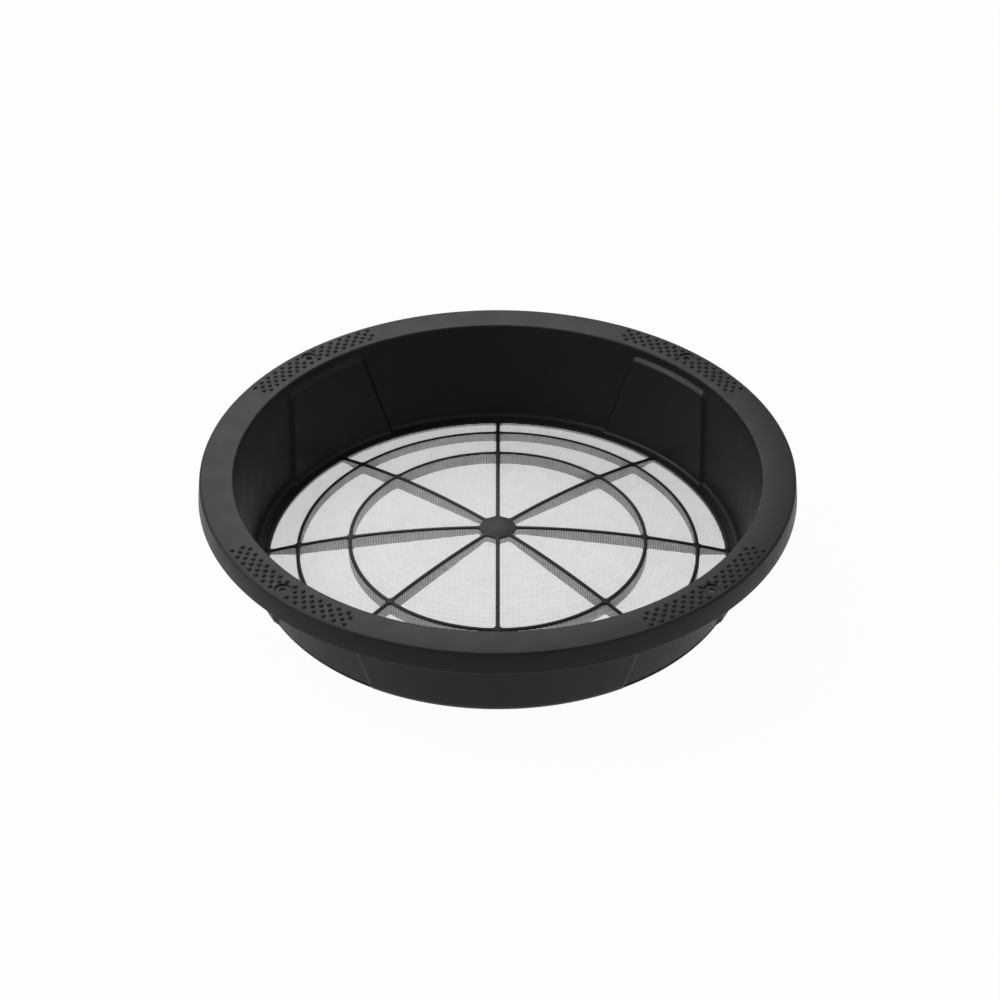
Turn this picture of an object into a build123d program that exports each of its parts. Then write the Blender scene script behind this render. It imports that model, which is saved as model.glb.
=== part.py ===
from build123d import *
import math
import os

# Screened inlet basket for the access opening of a rainwater tank.
# The basket hangs in a round 400 mm opening. It is one black moulding: a flange with a
# turned-down skirt, a tapered wall, a base ring, and a domed lattice of ribs. A disc of
# woven stainless mesh is moulded into the base ring and the ribs.
# The origin is the centre of the base ring's underside, with +Z up out of the tank.

# Overall size
rim_height = 82.0
skirt_radius = 223.0
flange_radius = 221.3
mouth_radius = 196.2
skirt_depth = 16.6
flange_thickness = 3.0
wall = 2.4

# Tapered wall and base ring
wall_slope = 0.1485
ledge_height = 2.8
base_ring_radius = 174.0
base_bevel = 5.5
wall_foot_bevel = 1.8

# Flange edges
flange_bevel = 1.4
mouth_bevel = 1.2

# Four wall panels that jog inwards under the screw holes
panel_count = 4
panel_first_angle = 45
panel_jog = 3.0
panel_top = 72.4
panel_top_half_width = 36.8
panel_foot_half_width = 51.6

# Screw holes in the flange
screw_circle_radius = 211.4
screw_hole_radius = 2.5
screw_recess_radius = 6.0
screw_recess_depth = 1.2

# Rib lattice under the dome
spoke_count = 8
rib_width = 3.0
ring_width = 2.8
inner_ring_radius = 112.1
outer_ring_radius = 151.9
crown_height = 25.5
crown_radius = 683.0
rib_foot_height = 19.8
rib_foot_radius = 155.0

# Hub button
hub_radius = 13.8
hub_top = 26.1
hub_flat_radius = 9.0
hub_shoulder = 24.6

# Spoke ends on the ledge
spoke_toe_start = 170.0
spoke_toe_reach = 177.2
spoke_toe_height = 0.6

# Woven mesh, simplified to broad strands with square gaps between them
mesh_height = 24.4
mesh_thickness = 0.6
mesh_radius = 176.5
mesh_pitch = 75.0
mesh_strand_width = 6.0
strand_pairs = 2

# Values that follow from the sizes above
flange_underside = rim_height - flange_thickness
skirt_tip_height = rim_height - skirt_depth
skirt_inner_top = flange_radius - wall
sunk = 0.3
spoke_reach = base_ring_radius + sunk


def wall_inside(height):
    """Radius of the wall's inner face at a height above the base."""
    return mouth_radius - wall_slope * (rim_height - height)


def wall_outside(height):
    """Radius of the wall's outer face at a height above the base."""
    return wall_inside(height) + wall


def dome_drop(radius):
    """How far the dome has fallen at a distance from its axis."""
    return crown_radius - math.sqrt(crown_radius**2 - radius**2)


def dome_arc(height, reach):
    """Arc that runs over the dome from one side to the other, with its top at a height."""
    end_height = height - dome_drop(reach)
    return ThreePointArc((-reach, end_height), (0, height), (reach, end_height))


def rib_underside(radius):
    """Height of the ribs' straight underside at a distance from the axis."""
    return rib_foot_height * (rib_foot_radius - radius) / (rib_foot_radius - hub_radius)


def panel_section(height, inner, outer, half_width):
    """Plan view of a panel block at a height, centred on azimuth 0, its sides flared at 45 degrees."""
    inner_angle = math.degrees(math.asin(half_width / inner))
    outer_angle = inner_angle + math.degrees((outer - inner) / inner)
    with BuildSketch(Plane.XY.offset(height)) as section:
        with BuildLine():
            front = CenterArc((0, 0), inner, -inner_angle, 2 * inner_angle)
            back = CenterArc((0, 0), outer, -outer_angle, 2 * outer_angle)
            Line(front @ 0, back @ 0)
            Line(front @ 1, back @ 1)
        make_face()
    return section.sketch


def panel_block(front, back, inset, foot, rise):
    """Block that lies along the wall at azimuth 0, for a panel's pad or its recess.

    Front and back are measured inwards and outwards from the wall's inner face, and inset
    narrows the outline. Above the panel the front slopes back at 45 degrees for the rise.
    """
    top = panel_top - inset
    lean = (panel_foot_half_width - panel_top_half_width) / (panel_top - ledge_height)
    top_half = panel_top_half_width - inset + lean * inset
    foot_half = top_half + lean * (top - foot)
    levels = [(foot, 0, foot_half), (top, 0, top_half), (top + rise, rise, top_half)]
    with BuildPart() as block:
        for height, slope_in, half_width in levels:
            inner = wall_inside(height) - front + slope_in
            flare = half_width + slope_in
            add(panel_section(height, inner, wall_inside(height) + back, flare))
        loft(ruled=True)
    return block.part


def nearest_vertex(sketch, radius, height):
    """The sketch vertex closest to a point of the section."""
    return sketch.vertices().sort_by_distance((radius, height))[0]


# Woven mesh: broad strands that follow the dome both ways and leave square gaps
strand_lines = [(index + 0.5) * mesh_pitch for index in range(-strand_pairs, strand_pairs)]
with BuildPart() as screen_mesh:
    for line in strand_lines:
        strand_height = mesh_height - dome_drop(line)
        reach = math.sqrt(mesh_radius**2 - line**2)
        for plane in (Plane.XZ.offset(line), Plane.YZ.offset(line)):
            with BuildSketch(plane):
                with BuildLine():
                    upper = dome_arc(strand_height + mesh_thickness / 2, reach)
                    lower = dome_arc(strand_height - mesh_thickness / 2, reach)
                    Line(upper @ 0, lower @ 0)
                    Line(upper @ 1, lower @ 1)
                make_face()
            extrude(amount=mesh_strand_width / 2, both=True)

screen_mesh.part.label = "screen_mesh"

# Rib lattice: deep spokes with a domed crown and a straight underside, tied by two rings
with BuildPart() as lattice:
    for bar in range(spoke_count // 2):
        with BuildSketch(Plane.XZ.rotated((0, 0, bar * 360 / spoke_count))):
            with BuildLine():
                crown = dome_arc(crown_height, spoke_reach)
                Polyline(
                    crown @ 1,
                    (spoke_reach, 0),
                    (rib_foot_radius, 0),
                    (hub_radius, rib_foot_height),
                    (-hub_radius, rib_foot_height),
                    (-rib_foot_radius, 0),
                    (-spoke_reach, 0),
                    crown @ 0,
                )
            make_face()
        extrude(amount=rib_width / 2, both=True)
    with BuildSketch(Plane.XZ):
        for ring_radius in (inner_ring_radius, outer_ring_radius):
            inner = ring_radius - ring_width / 2
            outer = ring_radius + ring_width / 2
            ring_foot = rib_underside(inner)
            ring_top = crown_height - dome_drop(outer)
            with BuildLine():
                Polyline(
                    (inner, ring_foot),
                    (outer, ring_foot),
                    (outer, ring_top),
                    (inner, ring_top),
                    close=True,
                )
            make_face()
    revolve(axis=Axis.Z)

# Basket: flange, skirt, wall and base ring in one section, with the lattice inside
with BuildPart() as basket:
    with BuildSketch(Plane.XZ) as section:
        with BuildLine():
            Polyline(
                (base_ring_radius, 0),
                (wall_outside(0), 0),
                (wall_outside(flange_underside), flange_underside),
                (skirt_inner_top, flange_underside),
                (skirt_radius - wall, skirt_tip_height),
                (skirt_radius, skirt_tip_height),
                (flange_radius, rim_height),
                (mouth_radius, rim_height),
                (wall_inside(ledge_height), ledge_height),
                (base_ring_radius, ledge_height),
                close=True,
            )
        make_face()
        chamfer(nearest_vertex(section, wall_outside(0), 0), base_bevel)
        chamfer(nearest_vertex(section, wall_inside(ledge_height), ledge_height), wall_foot_bevel)
        chamfer(nearest_vertex(section, flange_radius, rim_height), flange_bevel)
        chamfer(nearest_vertex(section, mouth_radius, rim_height), mouth_bevel)
    revolve(axis=Axis.Z)
    pad = panel_block(panel_jog, wall / 2, 0, ledge_height - sunk, panel_jog)
    recess_inset = wall * math.tan(math.radians(22.5))
    recess = panel_block(panel_jog - wall, 2 * wall, recess_inset, -wall, panel_jog + sunk)
    with PolarLocations(0, panel_count, panel_first_angle):
        add(pad)
    with PolarLocations(0, panel_count, panel_first_angle):
        add(recess, mode=Mode.SUBTRACT)
    add(lattice.part)
    with BuildSketch(Plane.XZ):
        with BuildLine():
            Polyline(
                (0, hub_top),
                (hub_flat_radius, hub_top),
                (hub_radius, hub_shoulder),
                (hub_radius, rib_foot_height),
                (0, rib_foot_height),
                close=True,
            )
        make_face()
    revolve(axis=Axis.Z)
    with BuildSketch(Plane.XY.offset(ledge_height / 2)):
        with PolarLocations((spoke_toe_reach + spoke_toe_start) / 2, spoke_count):
            Rectangle(spoke_toe_reach - spoke_toe_start, rib_width)
    extrude(amount=ledge_height / 2 + spoke_toe_height)
    with Locations((0, 0, rim_height)):
        with PolarLocations(screw_circle_radius, panel_count, panel_first_angle):
            CounterBoreHole(
                screw_hole_radius, screw_recess_radius, screw_recess_depth, depth=2 * wall
            )
    add(screen_mesh.part, mode=Mode.SUBTRACT)

basket.part.label = "basket"

os.makedirs("parts", exist_ok=True)
for piece in (basket, screen_mesh):
    export_step(piece.part, "parts/" + piece.part.label + ".step")
    print(piece.part.label, round(piece.part.volume), piece.part.is_valid, len(piece.part.solids()))
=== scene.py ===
# %% [markdown]
# # A tank inlet screen
#
# This lesson dresses a screened basket that drops into the round opening of a rainwater tank.
# The real one is a single black moulding: a broad flange with a turned-down skirt, a tapered
# wall with four panels that jog inwards, a base ring, and a domed lattice of ribs. A disc of
# woven stainless wire is moulded into the base ring and the ribs.
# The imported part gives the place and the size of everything. Here the same moulding gets its
# rounded edges, its grip nubs and its fine grain, and the mesh gets its real wires.

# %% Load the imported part
import math

import bmesh
import bpy
from mathutils import Matrix, Vector


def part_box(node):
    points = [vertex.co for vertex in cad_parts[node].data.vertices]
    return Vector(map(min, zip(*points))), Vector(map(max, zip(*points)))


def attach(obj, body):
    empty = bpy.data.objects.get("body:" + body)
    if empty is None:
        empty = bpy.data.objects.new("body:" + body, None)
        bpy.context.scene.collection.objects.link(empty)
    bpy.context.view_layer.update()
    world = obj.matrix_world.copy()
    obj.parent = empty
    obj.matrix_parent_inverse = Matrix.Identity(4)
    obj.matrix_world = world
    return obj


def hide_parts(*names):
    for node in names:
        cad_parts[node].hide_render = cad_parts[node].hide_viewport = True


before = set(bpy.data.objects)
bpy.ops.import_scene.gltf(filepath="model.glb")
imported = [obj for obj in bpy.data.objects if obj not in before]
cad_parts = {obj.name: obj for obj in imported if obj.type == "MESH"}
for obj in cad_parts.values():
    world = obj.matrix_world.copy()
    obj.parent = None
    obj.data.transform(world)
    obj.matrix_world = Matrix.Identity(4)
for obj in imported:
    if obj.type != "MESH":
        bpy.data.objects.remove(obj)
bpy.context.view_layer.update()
basket_low, basket_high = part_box("basket")
mesh_low, mesh_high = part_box("screen_mesh")
print("basket from", tuple(basket_low), "to", tuple(basket_high))
print("mesh from", tuple(mesh_low), "to", tuple(mesh_high))

# %% [markdown]
# ## Sizes
#
# Lengths are in metres, so a size in millimetres is written as a number times mm. The height
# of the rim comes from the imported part. The other values are the moulding's own sizes, and
# both the wall and the dome are described by a short formula that every later step uses.

# %% Sizes of the moulding
mm = 0.001
rim_height = basket_high.z
skirt_radius = 223.0 * mm
flange_radius = 221.3 * mm
mouth_radius = 196.2 * mm
skirt_tip = rim_height - 16.6 * mm
flange_underside = rim_height - 3.0 * mm
wall = 2.4 * mm
wall_slope = 0.1485
ledge_height = 2.8 * mm
ledge_start = 177.5 * mm
base_ring_radius = 174.0 * mm


def wall_inside(height):
    """Radius of the wall's inner face at a height."""
    return mouth_radius - wall_slope * (rim_height - height)


def wall_outside(height):
    """Radius of the wall's outer face at a height."""
    return wall_inside(height) + wall


def dome_drop(radius):
    """How far the dome has fallen at a distance from its axis."""
    dome_radius = 683.0 * mm
    return dome_radius - math.sqrt(dome_radius**2 - radius**2)


print("wall is", round(wall_inside(ledge_height) / mm, 1), "mm in radius at the ledge")

# %% [markdown]
# ## Camera
#
# The photograph looks down into the basket through a long lens, from a little over a metre and
# a half away. A camera turned only about X looks along +Y and down, so the flange shows as an
# even ellipse. The sensor is 36 mm wide, and the picture is square.

# %% Set the camera
camera_data = bpy.data.cameras.new("photo_camera")
camera_data.lens = 91.64
camera_data.sensor_width = 36.0
camera_data.clip_start = 0.05
camera_data.clip_end = 50.0
camera = bpy.data.objects.new("photo_camera", camera_data)
camera.location = (1.68 * mm, -1550.2 * mm, 1171.2 * mm)
camera.rotation_euler = (math.radians(54.13), 0.0, 0.0)
bpy.context.scene.collection.objects.link(camera)
bpy.context.scene.camera = camera
print("camera at", tuple(camera.location))

# %% [markdown]
# ## Helpers for every piece
#
# A piece starts as a bmesh and ends as an object at the origin. Rounded corners of a section
# come from a vertex bevel, whose offset is the distance from the corner to where the round
# begins, so the helper works that out from the radius that is asked for.

# %% Helpers
def finish_piece(bm, name, finish, smooth_angle=35.0):
    """Turn a bmesh into a smooth-shaded object that rides on the part."""
    mesh = bpy.data.meshes.new(name)
    bm.to_mesh(mesh)
    bm.free()
    mesh.materials.append(finish)
    mesh.polygons.foreach_set("use_smooth", [True] * len(mesh.polygons))
    mesh.set_sharp_from_angle(angle=math.radians(smooth_angle))
    piece = bpy.data.objects.new(name, mesh)
    bpy.context.scene.collection.objects.link(piece)
    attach(piece, "root")
    mesh.calc_loop_triangles()
    print(name, "has", len(mesh.loop_triangles), "triangles")
    return piece


def round_corner(bm, corner, radius, segments):
    """Round one corner of a flat section to a radius."""
    arms = [(edge.other_vert(corner).co - corner.co).normalized() for edge in corner.link_edges]
    half_angle = arms[0].angle(arms[1]) / 2
    bmesh.ops.bevel(
        bm,
        geom=[corner],
        offset=radius / math.tan(half_angle),
        offset_type="OFFSET",
        segments=segments,
        profile=0.5,
        affect="VERTICES",
        material=-1,
    )


def everything(bm):
    """All vertices, edges and faces of a bmesh, as operators want them."""
    return bm.verts[:] + bm.edges[:] + bm.faces[:]


def spin_section(bm, steps):
    """Spin a section's outline fully round Z into a closed skin that faces outwards."""
    bmesh.ops.delete(bm, geom=bm.faces[:], context="FACES_ONLY")
    bmesh.ops.spin(
        bm,
        geom=bm.verts[:] + bm.edges[:],
        cent=(0, 0, 0),
        axis=(0, 0, 1),
        angle=2 * math.pi,
        steps=steps,
        use_merge=True,
    )
    bmesh.ops.remove_doubles(bm, verts=bm.verts[:], dist=0.001 * mm)
    bmesh.ops.recalc_face_normals(bm, faces=bm.faces[:])


# %% [markdown]
# ## Finish: black moulded plastic
#
# The moulding is satin black, with a fine even grain from its tool. A light that grazes the
# grain breaks up a little, so a small noise drives a bump, and a larger, softer noise varies
# the roughness as handled plastic does. The colour is nearly black and very slightly uneven.

# %% Black plastic
def noise(nodes, links, coordinates, scale, detail, place):
    """A noise texture on object coordinates."""
    texture = nodes.new("ShaderNodeTexNoise")
    texture.location = place
    texture.inputs["Scale"].default_value = scale
    texture.inputs["Detail"].default_value = detail
    links.new(coordinates.outputs["Object"], texture.inputs["Vector"])
    return texture


def remap(nodes, links, source, low, high, place):
    """Spread the middle of a noise between two values."""
    spread = nodes.new("ShaderNodeMapRange")
    spread.location = place
    spread.inputs["From Min"].default_value = 0.3
    spread.inputs["From Max"].default_value = 0.7
    spread.inputs["To Min"].default_value = low
    spread.inputs["To Max"].default_value = high
    links.new(source, spread.inputs["Value"])
    return spread.outputs["Result"]


def black_plastic():
    material = bpy.data.materials.new("black_plastic")
    material.use_nodes = True
    nodes, links = material.node_tree.nodes, material.node_tree.links
    shader = nodes["Principled BSDF"]
    shader.inputs["Specular IOR Level"].default_value = 0.18
    coordinates = nodes.new("ShaderNodeTexCoord")
    coordinates.location = (-1100, 0)

    cloud = noise(nodes, links, coordinates, 60.0, 4.0, (-900, 250))
    tone = nodes.new("ShaderNodeValToRGB")
    tone.location = (-650, 300)
    tone.color_ramp.elements[0].position = 0.3
    tone.color_ramp.elements[0].color = (0.0075, 0.0075, 0.0077, 1.0)
    tone.color_ramp.elements[1].position = 0.7
    tone.color_ramp.elements[1].color = (0.0095, 0.0095, 0.0097, 1.0)
    links.new(cloud.outputs["Fac"], tone.inputs["Fac"])
    links.new(tone.outputs["Color"], shader.inputs["Base Color"])

    roughness = remap(nodes, links, cloud.outputs["Fac"], 0.40, 0.48, (-650, 0))
    links.new(roughness, shader.inputs["Roughness"])

    grain = noise(nodes, links, coordinates, 1800.0, 2.0, (-900, -300))
    bump = nodes.new("ShaderNodeBump")
    bump.location = (-650, -300)
    bump.inputs["Strength"].default_value = 0.25
    bump.inputs["Distance"].default_value = 0.06 * mm
    links.new(grain.outputs["Fac"], bump.inputs["Height"])
    links.new(bump.outputs["Normal"], shader.inputs["Normal"])
    print("made", material.name)
    return material


plastic = black_plastic()

# %% [markdown]
# ## Finish: stainless wire
#
# The wire is drawn stainless steel: bright, a little rough along its length, and slightly
# uneven in tone where the weave has rubbed. It is a metal, so its colour tints what it
# reflects.

# %% Stainless wire
def stainless_wire():
    material = bpy.data.materials.new("stainless_wire")
    material.use_nodes = True
    nodes, links = material.node_tree.nodes, material.node_tree.links
    shader = nodes["Principled BSDF"]
    shader.inputs["Metallic"].default_value = 1.0
    coordinates = nodes.new("ShaderNodeTexCoord")
    coordinates.location = (-1100, 0)
    patches = noise(nodes, links, coordinates, 90.0, 3.0, (-900, 150))
    tone = nodes.new("ShaderNodeValToRGB")
    tone.location = (-650, 200)
    tone.color_ramp.elements[0].position = 0.3
    tone.color_ramp.elements[0].color = (0.62, 0.62, 0.63, 1.0)
    tone.color_ramp.elements[1].position = 0.7
    tone.color_ramp.elements[1].color = (0.72, 0.72, 0.73, 1.0)
    links.new(patches.outputs["Fac"], tone.inputs["Fac"])
    links.new(tone.outputs["Color"], shader.inputs["Base Color"])
    roughness = remap(nodes, links, patches.outputs["Fac"], 0.34, 0.46, (-650, -100))
    links.new(roughness, shader.inputs["Roughness"])
    print("made", material.name)
    return material


steel = stainless_wire()

# %% [markdown]
# ## The moulding's section
#
# Flange, skirt, wall and base ring share one section, so one spin makes them all. The section
# is drawn as a flat face, its corners are rounded by vertex bevels, and then only its outline
# is spun. The rounds matter: they catch the light as thin bright lines in the photograph.

# %% Draw the section and round its corners
section_corners = [
    (ledge_start, 0.0, 0.0, 1),
    (wall_outside(0.0), 0.0, 8.0 * mm, 10),
    (wall_outside(flange_underside), flange_underside, 1.0 * mm, 3),
    (flange_radius - wall, flange_underside, 1.0 * mm, 3),
    (skirt_radius - wall, skirt_tip, 0.7 * mm, 3),
    (skirt_radius, skirt_tip, 0.8 * mm, 4),
    (flange_radius, rim_height, 2.0 * mm, 6),
    (mouth_radius, rim_height, 1.5 * mm, 6),
    (wall_inside(ledge_height), ledge_height, 3.0 * mm, 6),
    (ledge_start, ledge_height, 0.0, 1),
]
shell = bmesh.new()
corner_verts = [shell.verts.new((radius, 0, height)) for radius, height, _, _ in section_corners]
shell.faces.new(corner_verts)
for corner, (_, _, round_radius, segments) in zip(corner_verts, section_corners):
    if round_radius > 0:
        round_corner(shell, corner, round_radius, segments)
print("the section has", len(shell.verts), "points")

# %% [markdown]
# ## Rows for the wall panels
#
# Four panels of the wall stand 3 mm further in, one below each screw hole, probably to clear
# lugs on the tank. A panel is a trapezoid with rounded top corners and sides that slope
# at 45 degrees. The wall needs fine rows and columns only where those slopes run, so the
# section gets extra rows there first. After the spin, slanted planes cut the columns.

# %% Sizes of a panel
panel_count = 4
panel_jog = 3.0 * mm
panel_top = 72.4 * mm
panel_top_half_width = 36.8 * mm
panel_lean = 0.2126
panel_corner = 3.2 * mm
slope_round = 0.9 * mm
panel_outward_from = 120 * mm
side_strip_from = 20 * mm
side_strip_to = 66 * mm
flange_clearance = 1.2 * mm
recess_inset = wall * math.tan(math.radians(22.5))
slope_steps = [step * 0.4 * mm for step in range(-4, 10)] + [-3.4 * mm, -2.4 * mm]


def wall_edges(bm):
    """Edges of the section that belong to the wall, not to the skirt."""
    return [edge for edge in bm.edges if max(v.co.x for v in edge.verts) < mouth_radius + wall]


bmesh.ops.delete(shell, geom=shell.faces[:], context="FACES_ONLY")
upper_rows = [panel_top + step for step in slope_steps]
lower_rows = [height * mm for height in (9.0, 18.0, 30.0, 42.0, 54.0, 63.0)]
for height in upper_rows + lower_rows:
    rows = wall_edges(shell)
    bmesh.ops.bisect_plane(
        shell,
        geom=rows + list({v for edge in rows for v in edge.verts}),
        plane_co=(0, 0, height),
        plane_no=(0, 0, 1),
    )
print("the section has", len(shell.verts), "points with the panel rows")

# %% Spin the section
spin_section(shell, 360)
print("the spun shell has", len(shell.faces), "faces")

# %% [markdown]
# ## Pushing the panels in
#
# Each side of a panel is a flat slanted plane that passes through the wall. Cutting the wall
# along planes parallel to it gives columns of vertices on the slope. Every wall vertex is then
# moved straight towards the axis by the height of the slope at that point. The recess on the
# outside follows one wall thickness behind the pad on the inside.

# %% Cut columns along the panels' sides
def panel_frames():
    """The outward direction and the sideways direction of each panel."""
    for index in range(panel_count):
        turn = math.radians(45 + 360 / panel_count * index)
        yield Vector((math.cos(turn), math.sin(turn), 0)), Vector((-math.sin(turn), math.cos(turn), 0))


def wall_beside(bm, outward, sideways, side):
    """Faces, edges and vertices of the wall round one side of a panel."""
    faces = []
    for face in bm.faces:
        centre = face.calc_center_median()
        if centre.z > flange_underside or centre.dot(outward) < panel_outward_from:
            continue
        beside = side_strip_from < centre.dot(sideways) * side < side_strip_to
        if beside and centre.xy.length < mouth_radius + wall:
            faces.append(face)
    edges = {edge for face in faces for edge in face.edges}
    verts = {vert for face in faces for vert in face.verts}
    return faces + list(edges) + list(verts)


for outward, sideways in panel_frames():
    for side in (-1, 1):
        plane_no = (sideways * side + Vector((0, 0, panel_lean))).normalized()
        strip = wall_beside(shell, outward, sideways, side)
        for step in slope_steps:
            plane_co = sideways * side * (panel_top_half_width + step) + Vector((0, 0, panel_top))
            cut = bmesh.ops.bisect_plane(
                shell, geom=strip, plane_co=plane_co, plane_no=plane_no, dist=0.01 * mm
            )
            strip = cut["geom"]
print("the cut shell has", len(shell.faces), "faces")

# %% Move the wall onto the panels
def soft_slope(run):
    """Depth of a 45 degree slope that starts at 0, with rounds where it begins and ends."""
    if run < slope_round:
        return panel_jog - max(run + slope_round, 0) ** 2 / (4 * slope_round)
    if run > panel_jog - slope_round:
        return max(panel_jog + slope_round - run, 0) ** 2 / (4 * slope_round)
    return panel_jog - run


def distance_outside(point, outward, sideways):
    """Distance of a point outside a panel's rounded outline, negative within it."""
    half_width = panel_top_half_width + panel_lean * (panel_top - point.z)
    across = abs(point.dot(sideways)) - half_width + panel_corner
    above = point.z - panel_top + panel_corner
    corner_distance = math.hypot(max(across, 0), max(above, 0))
    return corner_distance + min(max(across, above), 0) - panel_corner


moved = 0
for vert in shell.verts:
    radius = vert.co.xy.length
    height = vert.co.z
    if radius > wall_outside(height) + 0.1 * mm or radius < ledge_start + 1 * mm:
        continue
    if height > flange_underside - flange_clearance:
        continue
    inner_side = radius < wall_inside(height) + wall / 2 and height > ledge_height - 0.1 * mm
    for outward, sideways in panel_frames():
        if vert.co.dot(outward) < panel_outward_from:
            continue
        run = distance_outside(vert.co, outward, sideways)
        if inner_side:
            new_radius = radius - soft_slope(run)
        else:
            new_radius = min(radius, wall_outside(height) - soft_slope(run + recess_inset))
        if new_radius < radius:
            vert.co.xy *= new_radius / radius
            moved += 1
print("moved", moved, "wall vertices")

# %% [markdown]
# ## Screw holes
#
# A screw hole in the flange is a 5 mm hole in a shallow recess 12 mm across. The recess has a
# small round on its edge. Its shape is a section spun about its own axis, and a Boolean
# modifier takes it out of the shell in four places.

# %% Cut the screw holes
screw_circle = 211.4 * mm
hole_section = [
    (0.0, -8.0),
    (2.5, -8.0),
    (2.5, -1.5),
    (2.9, -1.2),
    (5.7, -1.2),
    (6.0, -0.9),
    (6.0, -0.3),
    (6.35, 0.0),
    (6.35, 2.0),
    (0.0, 2.0),
]
holes = bmesh.new()
for outward, _ in panel_frames():
    hole = bmesh.new()
    outline = [hole.verts.new((radius * mm, 0, depth * mm)) for radius, depth in hole_section]
    hole.faces.new(outline)
    spin_section(hole, 40)
    place = outward * screw_circle + Vector((0, 0, rim_height))
    bmesh.ops.translate(hole, verts=hole.verts[:], vec=place)
    cutter_mesh = bpy.data.meshes.new("one_hole")
    hole.to_mesh(cutter_mesh)
    hole.free()
    holes.from_mesh(cutter_mesh)
    bpy.data.meshes.remove(cutter_mesh)


def cut_from(bm, cutter):
    """Take one closed shape out of another with an exact Boolean, and give the rest back."""
    meshes = []
    for name, source in (("body", bm), ("cutter", cutter)):
        mesh = bpy.data.meshes.new(name)
        source.to_mesh(mesh)
        source.free()
        meshes.append(bpy.data.objects.new(name, mesh))
        bpy.context.scene.collection.objects.link(meshes[-1])
    body, tool = meshes
    boolean = body.modifiers.new("cut", "BOOLEAN")
    boolean.operation = "DIFFERENCE"
    boolean.solver = "EXACT"
    boolean.object = tool
    graph = bpy.context.evaluated_depsgraph_get()
    result = bmesh.new()
    result.from_object(body, graph)
    for scratch in meshes:
        bpy.data.objects.remove(scratch)
    return result


shell = cut_from(shell, holes)
print("the drilled shell has", len(shell.faces), "faces")

# %% [markdown]
# ## The rib lattice
#
# Eight spokes and two rings carry the mesh. All of them show as the plastic between 24 windows,
# so it is the windows that are drawn. A window starts as a slice of a ring. Two planes trim it
# beside its spokes, and its four corners are rounded. The windows are then holes in one disc,
# which is given its thickness, rounded along its upper edges and bent onto the dome.

# %% Draw one window
spoke_count = 8
spoke_angle = 2 * math.pi / spoke_count
rib_width = 3.0 * mm
ring_width = 2.8 * mm
hub_radius = 13.8 * mm
inner_ring = 112.1 * mm
outer_ring = 151.9 * mm
window_corner = 3.0 * mm


def lattice_window(inner, outer):
    """Outline of one window between two circles and two spokes, with rounded corners."""
    bm = bmesh.new()
    ends = [bm.verts.new((radius, 0, 0)) for radius in (inner, outer)]
    edge = bm.edges.new(ends)
    bmesh.ops.spin(
        bm, geom=ends + [edge], cent=(0, 0, 0), axis=(0, 0, 1), angle=spoke_angle, steps=20
    )
    for turn, side in ((0.0, 1), (spoke_angle, -1)):
        across = Vector((-math.sin(turn), math.cos(turn), 0)) * side
        bmesh.ops.bisect_plane(
            bm,
            geom=everything(bm),
            plane_co=across * rib_width / 2,
            plane_no=across,
            clear_inner=True,
        )
    bmesh.ops.dissolve_faces(bm, faces=bm.faces[:], use_verts=False)
    by_turn = sorted(bm.verts, key=lambda vert: abs(abs(math.atan2(vert.co.y, vert.co.x) - spoke_angle / 2)))
    corners = []
    for radius in (inner, outer):
        ring = [vert for vert in by_turn if abs(vert.co.xy.length - radius) < 0.05 * mm]
        corners += ring[-2:]
    crowded = [
        vert
        for vert in bm.verts
        if vert not in corners
        and min((vert.co - corner.co).length for corner in corners) < 1.1 * window_corner
    ]
    bmesh.ops.dissolve_verts(bm, verts=crowded)
    for corner in corners:
        round_corner(bm, corner, 0.9 * window_corner, 4)
    bmesh.ops.delete(bm, geom=bm.faces[:], context="FACES_ONLY")
    sides = [edge for edge in bm.edges if edge.calc_length() > 14 * mm]
    bmesh.ops.subdivide_edges(bm, edges=sides, cuts=10)
    return bm


# %% Fill the lattice around its windows
def copy_turned(target, source, turn):
    """Add a copy of a bmesh to another, turned about Z."""
    mesh = bpy.data.meshes.new("copy")
    source.to_mesh(mesh)
    mesh.transform(Matrix.Rotation(turn, 4, "Z"))
    target.from_mesh(mesh)
    bpy.data.meshes.remove(mesh)


lattice = bmesh.new()
bmesh.ops.create_circle(lattice, segments=240, radius=ledge_start + 0.5 * mm)
window_rows = [
    (hub_radius, inner_ring - ring_width / 2),
    (inner_ring + ring_width / 2, outer_ring - ring_width / 2),
    (outer_ring + ring_width / 2, base_ring_radius),
]
for inner, outer in window_rows:
    window = lattice_window(inner, outer)
    for spoke in range(spoke_count):
        copy_turned(lattice, window, spoke * spoke_angle)
    window.free()
bmesh.ops.triangle_fill(lattice, use_beauty=True, edges=lattice.edges[:], normal=(0, 0, 1))
print("the lattice plan has", len(lattice.faces), "faces")

# %% [markdown]
# ## Thickness, rounded crowns and the dome
#
# The ribs are deep: their underside runs straight from below the hub down to the level of the
# base, so the ribs stiffen the dome like the ribs of an umbrella. The lattice is thickened
# while it is flat, because a bevel is tidy there, and then its top is dropped onto the dome and
# its bottom onto the straight underside.

# %% Thicken, round and bend the lattice
flat_thickness = 10 * mm
crown_round = 0.8 * mm
crown_height = 25.5 * mm
rib_foot_height = 19.8 * mm
rib_foot_radius = 155.0 * mm

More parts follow.
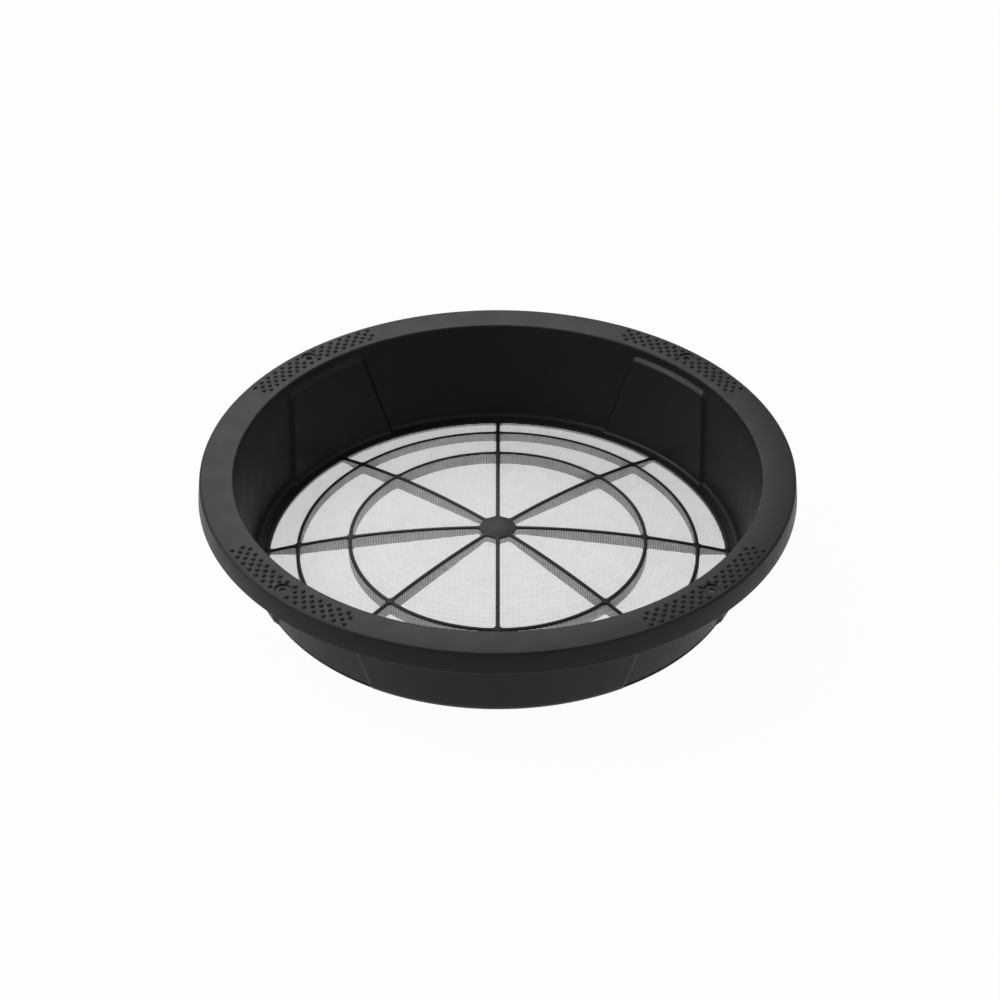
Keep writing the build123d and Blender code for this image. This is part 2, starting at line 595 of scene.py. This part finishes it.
plan = everything(lattice)
raised = bmesh.ops.extrude_face_region(lattice, geom=plan, use_keep_orig=True)["geom"]
raised_verts = [item for item in raised if isinstance(item, bmesh.types.BMVert)]
bmesh.ops.translate(lattice, verts=raised_verts, vec=(0, 0, flat_thickness))
bmesh.ops.recalc_face_normals(lattice, faces=lattice.faces[:])
rims = [
    edge
    for edge in lattice.edges
    if min(vert.co.z for vert in edge.verts) > flat_thickness / 2
    and len(edge.link_faces) == 2
    and edge.calc_face_angle() > 1.0
]
bmesh.ops.bevel(
    lattice,
    geom=rims,
    offset=crown_round,
    offset_type="OFFSET",
    segments=3,
    profile=0.5,
    affect="EDGES",
    loop_slide=False,
    material=-1,
)


def rib_underside(radius):
    """Height of the ribs' straight underside at a distance from the axis."""
    share = (rib_foot_radius - radius) / (rib_foot_radius - hub_radius)
    return rib_foot_height * min(max(share, 0), 1)


def lattice_top(radius):
    """Height of the lattice's crown, which meets the ledge at the base ring."""
    if radius > base_ring_radius - 0.05 * mm:
        return ledge_height
    return crown_height - dome_drop(radius)


for vert in lattice.verts:
    radius = vert.co.xy.length
    depth = flat_thickness - vert.co.z
    if depth > 2 * crown_round:
        vert.co.z = rib_underside(radius)
    else:
        vert.co.z = lattice_top(radius) - depth
print("the bent lattice has", len(lattice.faces), "faces")

# %% [markdown]
# ## Hub button and spoke ends
#
# Where the spokes meet there is a low round button. At the other end each spoke runs on over
# the ledge for a few millimetres, as a small bar with rounded edges.

# %% Hub button
hub_top = 26.2 * mm
hub = bmesh.new()
hub_corners = [
    (0.0, hub_top),
    (8.0 * mm, hub_top - 0.35 * mm),
    (hub_radius, hub_top - 1.2 * mm),
    (hub_radius, rib_foot_height + 1 * mm),
    (0.0, rib_foot_height + 1 * mm),
]
hub_verts = [hub.verts.new((radius, 0, height)) for radius, height in hub_corners]
hub.faces.new(hub_verts)
round_corner(hub, hub_verts[1], 40.0 * mm, 4)
round_corner(hub, hub_verts[2], 0.8 * mm, 3)
spin_section(hub, 64)

# %% Spoke ends
toe_reach = 177.2 * mm
toe_start = 164.0 * mm
toe_top = ledge_height + 0.6 * mm
toes = bmesh.new()
toe = bmesh.new()
bmesh.ops.create_cube(toe, size=1.0)
toe_height = 2.0 * mm
bmesh.ops.scale(toe, verts=toe.verts[:], vec=(toe_reach - toe_start, rib_width, toe_height))
bmesh.ops.translate(
    toe, verts=toe.verts[:], vec=((toe_reach + toe_start) / 2, 0, toe_top - toe_height / 2)
)
bmesh.ops.bevel(
    toe,
    geom=toe.edges[:],
    offset=0.5 * mm,
    offset_type="OFFSET",
    segments=3,
    profile=0.5,
    affect="EDGES",
    material=-1,
)
for spoke in range(spoke_count):
    copy_turned(toes, toe, spoke * spoke_angle)
toe.free()
print("made the hub button and", spoke_count, "spoke ends")

# %% [markdown]
# ## Grip nubs
#
# Round each screw hole the flange has a pad of low domed nubs, in four rows that follow the
# rim. There are more than two hundred, so each nub is light: half of a coarse sphere, pressed
# flat, with its foot sunk into the flange.

# %% Grip nubs
nub_radius = 1.8 * mm
nub_rise = 1.15 * mm
nub_pitch = math.radians(2.27)
nub_rows = [
    (216.1 * mm, [1, 2, 3, 4, 5, 6, 7]),
    (211.9 * mm, [1.5, 2.5, 3.5, 4.5, 5.5, 6.5]),
    (207.9 * mm, [1, 2, 3, 4, 5, 6, 7]),
    (203.9 * mm, [0.5, 1.5, 2.5, 3.5, 4.5, 5.5, 6.5]),
]
nub = bmesh.new()
bmesh.ops.create_uvsphere(nub, u_segments=12, v_segments=8, radius=1.0)
bmesh.ops.bisect_plane(
    nub, geom=everything(nub), plane_co=(0, 0, -0.15), plane_no=(0, 0, 1), clear_inner=True
)
bmesh.ops.holes_fill(nub, edges=nub.edges[:], sides=12)
bmesh.ops.scale(nub, verts=nub.verts[:], vec=(nub_radius, nub_radius, nub_rise))
nub_mesh = bpy.data.meshes.new("nub")
nub.to_mesh(nub_mesh)
nub.free()

nubs = bmesh.new()
nub_count = 0
for pad in range(panel_count):
    pad_turn = math.radians(45 + 360 / panel_count * pad)
    for radius, offsets in nub_rows:
        for offset in [-value for value in offsets] + offsets:
            turn = pad_turn + offset * nub_pitch
            one = nub_mesh.copy()
            place = Matrix.Rotation(turn, 4, "Z") @ Matrix.Translation((radius, 0, rim_height))
            one.transform(place)
            nubs.from_mesh(one)
            bpy.data.meshes.remove(one)
            nub_count += 1
print("made", nub_count, "grip nubs")

# %% [markdown]
# ## One moulding
#
# The real basket is moulded in one piece, so its parts are joined into one object, which
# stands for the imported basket.

# %% Join the moulding
basket = bmesh.new()
for part in (shell, lattice, hub, toes, nubs):
    copy_turned(basket, part, 0.0)
    part.free()
basket_piece = finish_piece(basket, "moulded_basket", plastic)
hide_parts("basket")

# %% [markdown]
# ## Woven wire
#
# The mesh is a plain weave: each wire goes over one crossing wire and under the next. At the
# scale of the photograph single wires can just be seen, and a painted pattern would go flat
# from the side, so the wires are real. That means about sixty thousand crossings, so a wire
# has only three sides and one ring of vertices at each crossing. A whole half of the
# wires that run one way is made at once: a column of small triangles is swept along the wires
# by a spin that doesn't turn, and then every vertex is moved up or down by half a wire.

# %% Sizes of the weave
wire_pitch = 1.27 * mm
wire_radius = 0.1575 * mm
three_sided = 1.2
mesh_crown = 24.4 * mm
mesh_reach = 175.6 * mm
wires_each_way = math.ceil(mesh_reach / wire_pitch)


def woven_half(name, turn, half):
    """Half of the wires that run along X, or along Y if the turn is a quarter."""
    bm = bmesh.new()
    start = -wires_each_way * wire_pitch
    for wire in range(wires_each_way):
        place = Vector((start, half * (wire + 0.5) * wire_pitch, 0))
        matrix = Matrix.Translation(place) @ Matrix.Rotation(math.pi / 2, 4, "Y")
        bmesh.ops.create_circle(bm, segments=3, radius=wire_radius * three_sided, matrix=matrix)
    bmesh.ops.spin(
        bm,
        geom=bm.verts[:] + bm.edges[:],
        cent=(0, 0, 0),
        axis=(0, 0, 1),
        dvec=(wire_pitch, 0, 0),
        angle=0.0,
        steps=2 * wires_each_way,
    )
    outside = [vert for vert in bm.verts if vert.co.xy.length > mesh_reach]
    bmesh.ops.delete(bm, geom=outside, context="VERTS")
    loose = [vert for vert in bm.verts if len(vert.link_faces) < 1]
    bmesh.ops.delete(bm, geom=loose, context="VERTS")
    ends = [edge for edge in bm.edges if edge.is_boundary]
    bmesh.ops.holes_fill(bm, edges=ends, sides=3)
    over = 1 if turn == 0 else -1
    for vert in bm.verts:
        crossing = round(vert.co.x / wire_pitch) + math.floor(vert.co.y / wire_pitch)
        weave = wire_radius * over * (1 if crossing % 2 else -1)
        vert.co.z += mesh_crown - dome_drop(vert.co.xy.length) + weave
    bmesh.ops.rotate(bm, verts=bm.verts[:], cent=(0, 0, 0), matrix=Matrix.Rotation(turn, 3, "Z"))
    bmesh.ops.recalc_face_normals(bm, faces=bm.faces[:])
    return finish_piece(bm, name, steel, smooth_angle=180.0)


# %% Weave the mesh
quarter = math.pi / 2
wires = [
    woven_half("wires_far", 0.0, 1),
    woven_half("wires_near", 0.0, -1),
    woven_half("wires_left", quarter, 1),
    woven_half("wires_right", quarter, -1),
]
for piece in wires:
    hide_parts("screen_mesh")

# %% [markdown]
# ## Floor and light
#
# The photograph has a plain white background. The floor is bright to the camera and to
# reflections, and still takes a faint shadow. The world is a soft pale grey. A large lamp at
# the left gives the rounds their bright lines, a weak lamp fills from the right, and a third
# lamp behind the basket lights the front of its inside and grazes the back of the flange.

# %% Floor
def white_for_camera(name, plain_colour, kept_shadow):
    """A material that the camera and reflections see as white, and that keeps a faint shadow."""
    material = bpy.data.materials.new(name)
    material.use_nodes = True
    nodes, links = material.node_tree.nodes, material.node_tree.links
    nodes.clear()
    output = nodes.new("ShaderNodeOutputMaterial")
    output.location = (700, 0)
    path = nodes.new("ShaderNodeLightPath")
    path.location = (-500, 300)
    seen = nodes.new("ShaderNodeMath")
    seen.operation = "MAXIMUM"
    seen.location = (-250, 300)
    links.new(path.outputs["Is Camera Ray"], seen.inputs[0])
    links.new(path.outputs["Is Glossy Ray"], seen.inputs[1])
    through = nodes.new("ShaderNodeMath")
    through.operation = "MAXIMUM"
    through.location = (-50, 300)
    links.new(seen.outputs["Value"], through.inputs[0])
    links.new(path.outputs["Is Transmission Ray"], through.inputs[1])
    plain = nodes.new("ShaderNodeBsdfDiffuse")
    plain.location = (-50, 0)
    plain.inputs["Color"].default_value = (plain_colour, plain_colour, plain_colour, 1.0)
    white = nodes.new("ShaderNodeEmission")
    white.location = (-50, -200)
    white.inputs["Color"].default_value = (1.0, 1.0, 1.0, 1.0)
    faint = nodes.new("ShaderNodeMixShader")
    faint.location = (200, -100)
    faint.inputs["Fac"].default_value = 1.0 - kept_shadow
    links.new(plain.outputs["BSDF"], faint.inputs[1])
    links.new(white.outputs["Emission"], faint.inputs[2])
    chosen = nodes.new("ShaderNodeMixShader")
    chosen.location = (450, 0)
    links.new(through.outputs["Value"], chosen.inputs["Fac"])
    links.new(plain.outputs["BSDF"], chosen.inputs[1])
    links.new(faint.outputs["Shader"], chosen.inputs[2])
    links.new(chosen.outputs["Shader"], output.inputs["Surface"])
    return material


floor_bm = bmesh.new()
bmesh.ops.create_grid(floor_bm, x_segments=1, y_segments=1, size=6.0)
floor_mesh = bpy.data.meshes.new("floor")
bmesh.ops.translate(floor_bm, verts=floor_bm.verts[:], vec=(0, 0, -0.05 * mm))
floor_bm.to_mesh(floor_mesh)
floor_bm.free()
floor_mesh.materials.append(white_for_camera("white_floor", 0.5, 0.03))
floor = bpy.data.objects.new("floor", floor_mesh)
bpy.context.scene.collection.objects.link(floor)

# %% World
world = bpy.data.worlds.new("pale_studio")
bpy.context.scene.world = world
world.use_nodes = True
sky = world.node_tree.nodes["Background"]
sky.inputs["Color"].default_value = (1.0, 1.0, 1.0, 1.0)
world_links = world.node_tree.links
path = world.node_tree.nodes.new("ShaderNodeLightPath")
strength = world.node_tree.nodes.new("ShaderNodeMapRange")
strength.inputs["To Min"].default_value = 0.5
strength.inputs["To Max"].default_value = 1.0
world_links.new(path.outputs["Is Camera Ray"], strength.inputs["Value"])
world_links.new(strength.outputs["Result"], sky.inputs["Strength"])

# %% Lamps
def soft_lamp(name, place, aim, size, power):
    """A square area lamp that points at a target."""
    data = bpy.data.lights.new(name, "AREA")
    data.shape = "SQUARE"
    data.size = size
    data.energy = power
    lamp = bpy.data.objects.new(name, data)
    lamp.location = place
    lamp.rotation_euler = (Vector(aim) - Vector(place)).to_track_quat("-Z", "Y").to_euler()
    bpy.context.scene.collection.objects.link(lamp)
    return lamp


soft_lamp("key_lamp", (-1.6, 0.2, 1.6), (0, 0, 0.03), 1.0, 30.0)
soft_lamp("fill_lamp", (1.6, -1.0, 1.2), (0, 0, 0.03), 1.2, 4.0)
soft_lamp("back_lamp", (-0.3, 1.8, 1.6), (0, 0, 0.05), 1.4, 20.0)
bpy.context.scene.view_settings.view_transform = "Standard"
